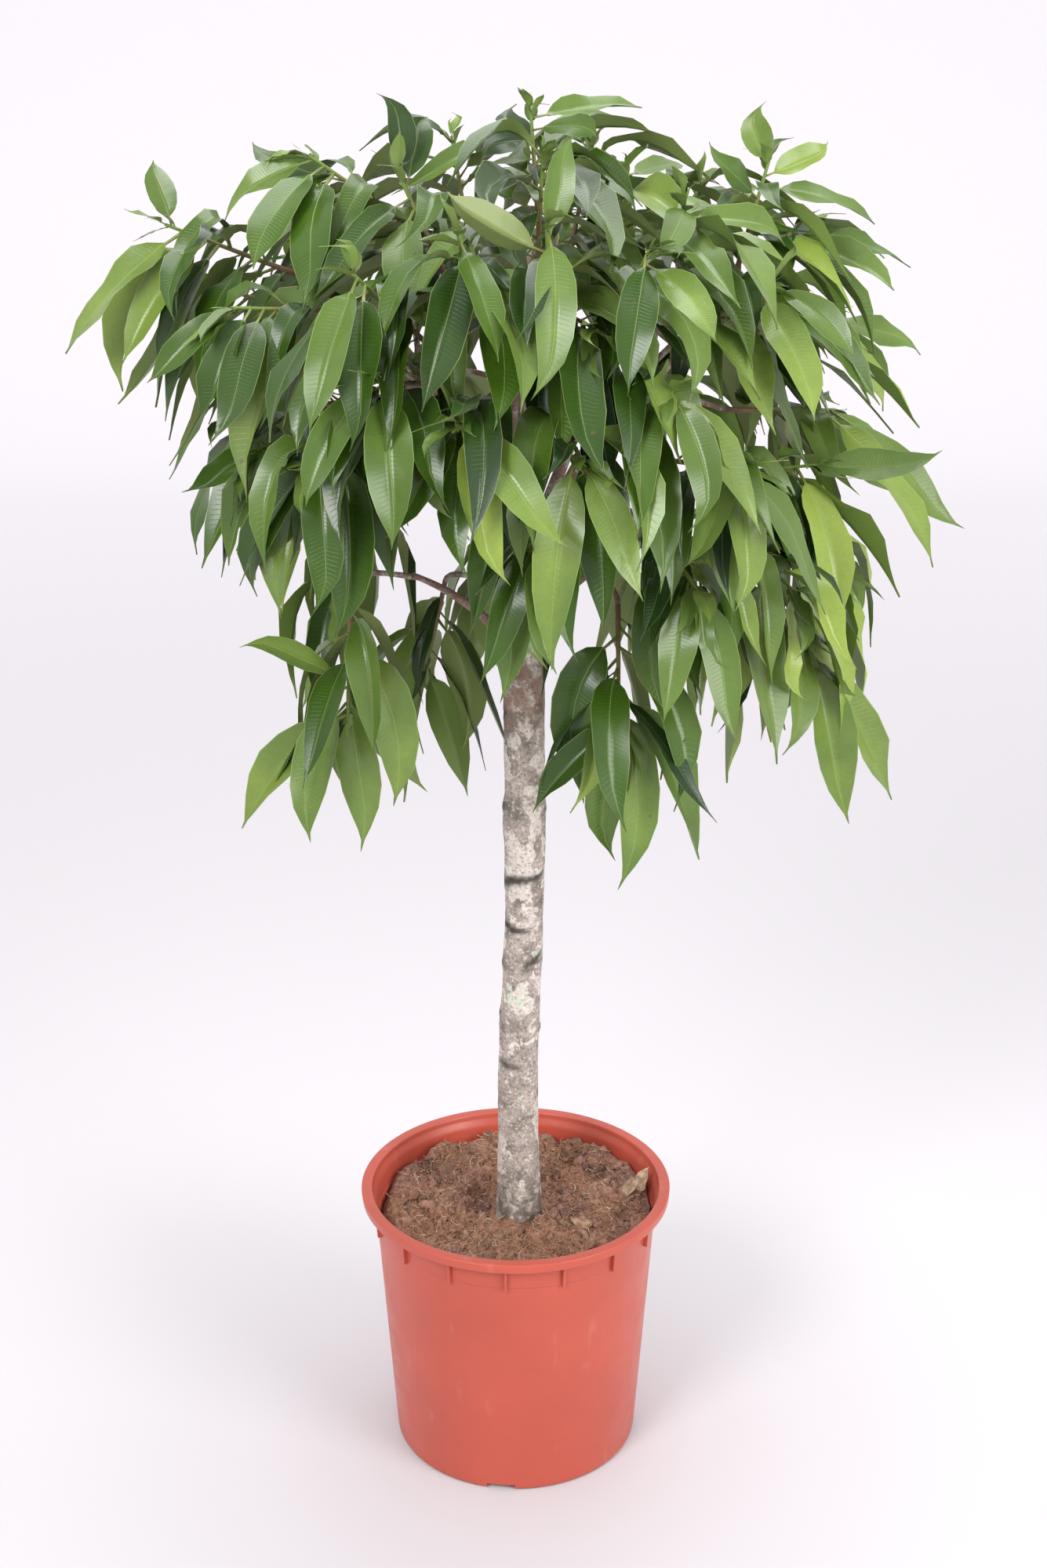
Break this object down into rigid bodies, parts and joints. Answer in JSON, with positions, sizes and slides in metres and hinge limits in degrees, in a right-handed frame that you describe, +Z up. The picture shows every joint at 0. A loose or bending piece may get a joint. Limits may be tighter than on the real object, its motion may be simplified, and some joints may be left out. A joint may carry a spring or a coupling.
{
  "type": "potted standard fig tree",
  "caption": "Weeping long-leaved fig grown as a standard: a bare stem under a rounded crown of drooping leaves, in a tapered plastic nursery pot with a broad rim.",
  "frame": {"origin": "centre of the pot's foot, on the surface that the pot stands on", "axes": "+Z up along the stem; -Y is the side the picture shows; +X is to that viewer's right"},
  "size_m": [0.832, 0.7137, 1.418],
  "materials": {
    "pot_plastic": "satin",
    "potting_soil": "rough",
    "bark": "rough",
    "foliage": "glossy"
  },
  "bodies": {
    "root": {"pot": "pot_plastic", "soil": "potting_soil", "stem": "bark", "limbs": "bark", "leafy_shoot_01": "foliage", "leafy_shoot_02": "foliage", "leafy_shoot_03": "foliage", "leafy_shoot_04": "foliage", "leafy_shoot_05": "foliage", "leafy_shoot_06": "foliage", "leafy_shoot_07": "foliage", "leafy_shoot_08": "foliage", "leafy_shoot_09": "foliage", "leafy_shoot_10": "foliage", "leafy_shoot_11": "foliage", "leafy_shoot_12": "foliage", "leafy_shoot_13": "foliage", "leafy_shoot_14": "foliage", "leafy_shoot_15": "foliage", "leafy_shoot_16": "foliage", "leafy_shoot_17": "foliage", "leafy_shoot_18": "foliage", "leafy_shoot_19": "foliage", "leafy_shoot_20": "foliage", "leafy_shoot_21": "foliage", "leafy_shoot_22": "foliage", "leafy_shoot_23": "foliage", "leafy_shoot_24": "foliage", "leafy_shoot_25": "foliage", "leafy_shoot_26": "foliage", "leafy_shoot_27": "foliage", "leafy_shoot_28": "foliage", "leafy_shoot_29": "foliage", "leafy_shoot_30": "foliage", "leafy_shoot_31": "foliage", "leafy_shoot_32": "foliage", "leafy_shoot_33": "foliage", "leafy_shoot_34": "foliage", "leafy_shoot_35": "foliage", "leafy_shoot_36": "foliage", "leafy_shoot_37": "foliage", "leafy_shoot_38": "foliage", "leafy_shoot_39": "foliage", "leafy_shoot_40": "foliage", "leafy_shoot_41": "foliage", "leafy_shoot_42": "foliage", "leafy_shoot_43": "foliage", "leafy_shoot_44": "foliage", "leafy_shoot_45": "foliage", "leafy_shoot_46": "foliage", "leafy_shoot_47": "foliage", "leafy_shoot_48": "foliage", "leafy_shoot_49": "foliage", "leafy_shoot_50": "foliage", "leafy_shoot_51": "foliage", "leafy_shoot_52": "foliage", "leafy_shoot_53": "foliage", "leafy_shoot_54": "foliage", "leafy_shoot_55": "foliage"}
  },
  "joints": []
}
